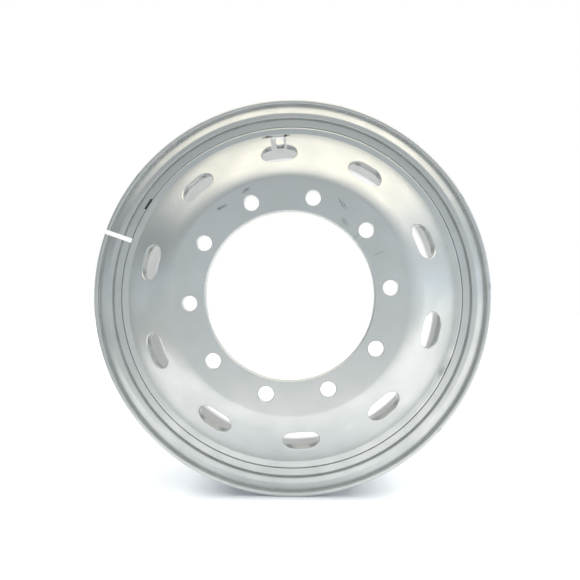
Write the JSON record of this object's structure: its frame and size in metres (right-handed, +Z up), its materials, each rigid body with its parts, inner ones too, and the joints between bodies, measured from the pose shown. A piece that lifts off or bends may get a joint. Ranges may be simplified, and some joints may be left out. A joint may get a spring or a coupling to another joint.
{
  "type": "steel wheel",
  "caption": "Split-ring steel truck wheel: dished disc with hub bore, bolt holes and hand holes, welded into a flat-bed rim closed by a removable spring side ring.",
  "frame": {"origin": "middle of the hub bore, on the disc's face that lies against the hub", "axes": "+Y along the wheel's axis towards the vehicle, -Y the side with the wheel nuts, +Z up, with the valve near the top"},
  "size_m": [0.705, 0.332, 0.705],
  "materials": {
    "disc_paint": "satin silver paint",
    "rim_paint": "satin silver paint",
    "ring_paint": "satin silver paint",
    "weld_paint": "satin silver paint"
  },
  "bodies": {
    "root": {"wheel_disc": "disc_paint", "rim_base": "rim_paint", "side_ring": "ring_paint", "disc_weld": "weld_paint"}
  },
  "joints": []
}
